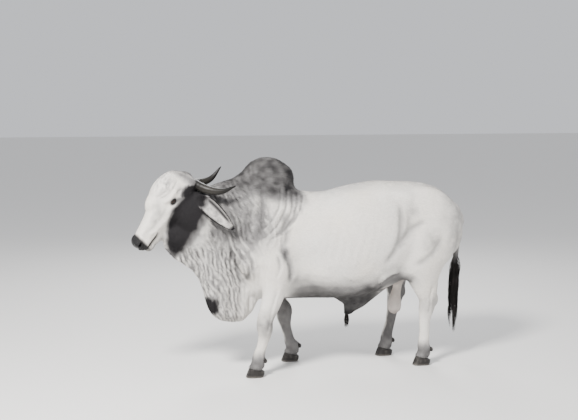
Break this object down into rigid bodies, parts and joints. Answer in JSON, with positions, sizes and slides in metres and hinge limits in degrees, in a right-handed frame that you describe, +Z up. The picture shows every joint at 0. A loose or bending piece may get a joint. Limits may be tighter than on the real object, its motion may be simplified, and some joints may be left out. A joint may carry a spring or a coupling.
{
  "type": "brahman bull, standing, life size",
  "caption": "Life-size standing Brahman bull with a tall hump, hanging ears, pleated dewlap and short dark horns.",
  "frame": {"origin": "centre of the bounding box on the ground under the hooves", "axes": "+Z up, the head faces -X, the bull's left side is -Y"},
  "size_m": [2.7451, 0.7336, 1.6975],
  "materials": {
    "head_coat": "short silver-grey fur",
    "dewlap_coat": "short grey fur on loose skin",
    "neck_coat": "short mottled grey fur",
    "hump_coat": "short charcoal fur",
    "torso_coat": "short silver-white fur",
    "leg_coat": "short grey fur",
    "sheath_skin": "thin dark skin with sparse hair",
    "scrotum_skin": "bare pale skin",
    "ear_coat": "fine short fur with dark rims",
    "horn": "dark horn, satin",
    "eye": "wet and dark",
    "tail_coat": "short dark fur",
    "switch_hair": "long black hair",
    "hoof_horn": "black horn, worn",
    "dewclaw_horn": "black horn, worn",
    "tuft_hair": "long dark hair"
  },
  "bodies": {
    "root": {"head": "head_coat", "dewlap": "dewlap_coat", "neck": "neck_coat", "hump": "hump_coat", "torso": "torso_coat", "foreleg_left": "leg_coat", "foreleg_right": "leg_coat", "hindleg_left": "leg_coat", "hindleg_right": "leg_coat", "sheath": "sheath_skin", "scrotum": "scrotum_skin", "ear_left": "ear_coat", "ear_right": "ear_coat", "horn_left": "horn", "horn_right": "horn", "eye_left": "eye", "eye_right": "eye", "tail": "tail_coat", "tail_switch": "switch_hair", "claw_fore_left_inner": "hoof_horn", "dewclaw_fore_left_inner": "dewclaw_horn", "claw_fore_left_outer": "hoof_horn", "dewclaw_fore_left_outer": "dewclaw_horn", "claw_fore_right_inner": "hoof_horn", "dewclaw_fore_right_inner": "dewclaw_horn", "claw_fore_right_outer": "hoof_horn", "dewclaw_fore_right_outer": "dewclaw_horn", "claw_hind_left_inner": "hoof_horn", "dewclaw_hind_left_inner": "dewclaw_horn", "claw_hind_left_outer": "hoof_horn", "dewclaw_hind_left_outer": "dewclaw_horn", "claw_hind_right_inner": "hoof_horn", "dewclaw_hind_right_inner": "dewclaw_horn", "claw_hind_right_outer": "hoof_horn", "dewclaw_hind_right_outer": "dewclaw_horn", "sheath_tuft": "tuft_hair"}
  },
  "joints": []
}
